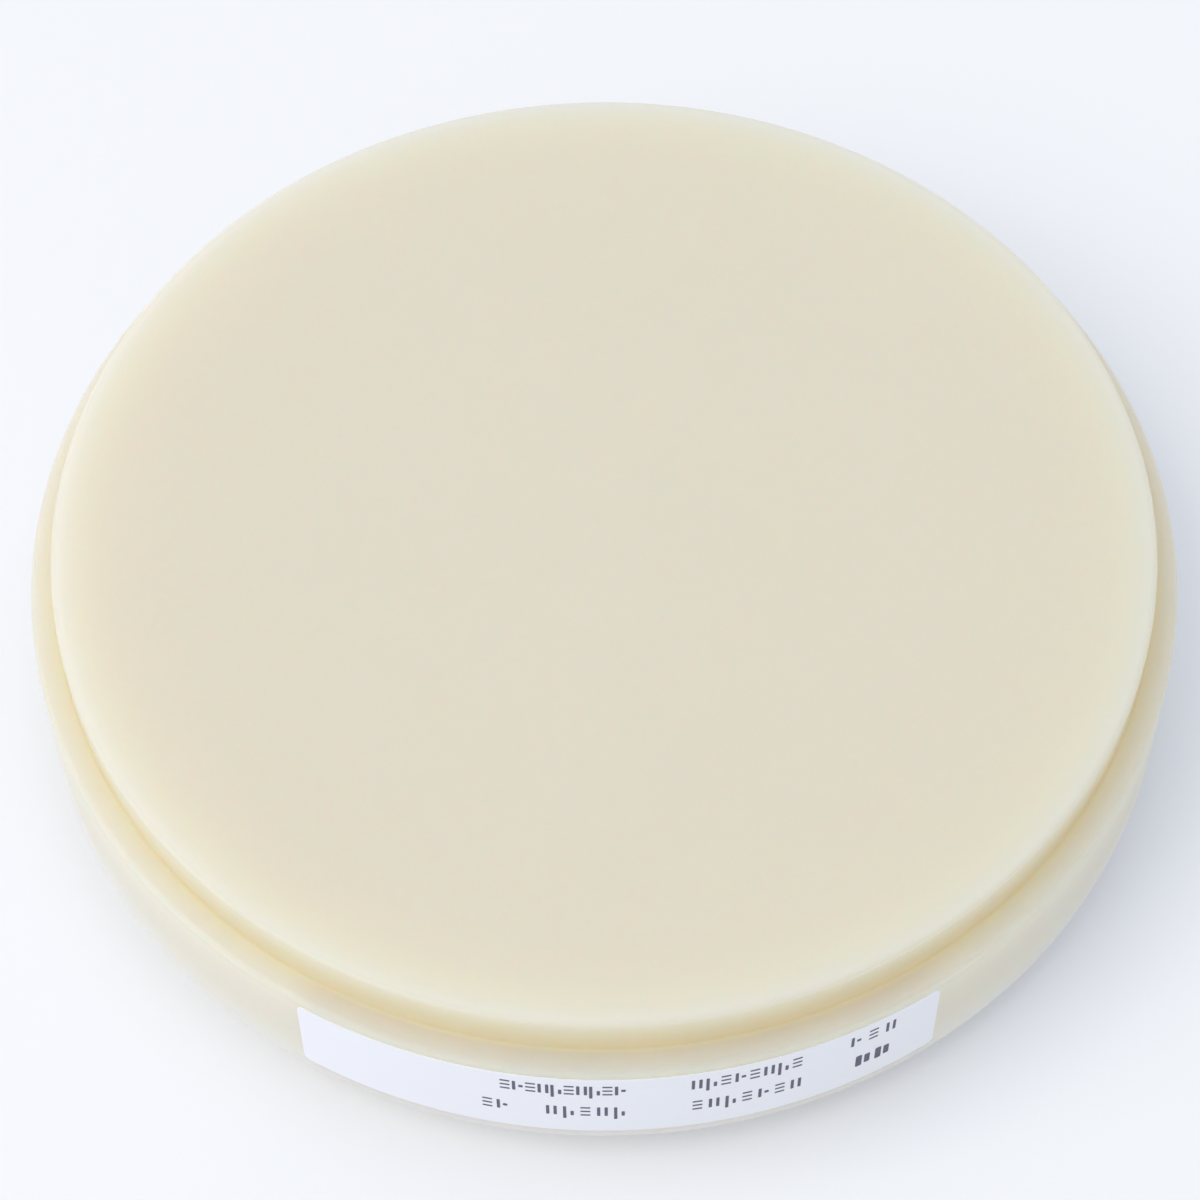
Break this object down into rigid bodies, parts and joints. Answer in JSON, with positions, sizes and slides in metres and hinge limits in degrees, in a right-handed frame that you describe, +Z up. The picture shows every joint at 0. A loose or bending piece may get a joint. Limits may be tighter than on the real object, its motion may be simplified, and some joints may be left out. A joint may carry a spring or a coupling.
{
  "type": "dental milling disc",
  "caption": "Round resin blank with a flange between two low bosses, clamped in a dental mill and cut into crowns, bridges and other restorations.",
  "frame": {"origin": "centre of the underside, on the disc's axis", "axes": "+Z up along the disc's axis; -Y towards the label, which is stuck on the front of the flange"},
  "size_m": [0.098, 0.0981, 0.02],
  "materials": {
    "tooth_resin": "satin, translucent, turned",
    "label_paper": "matt white paper label"
  },
  "bodies": {
    "root": {"disc": "tooth_resin", "rim_label": "label_paper"}
  },
  "joints": []
}
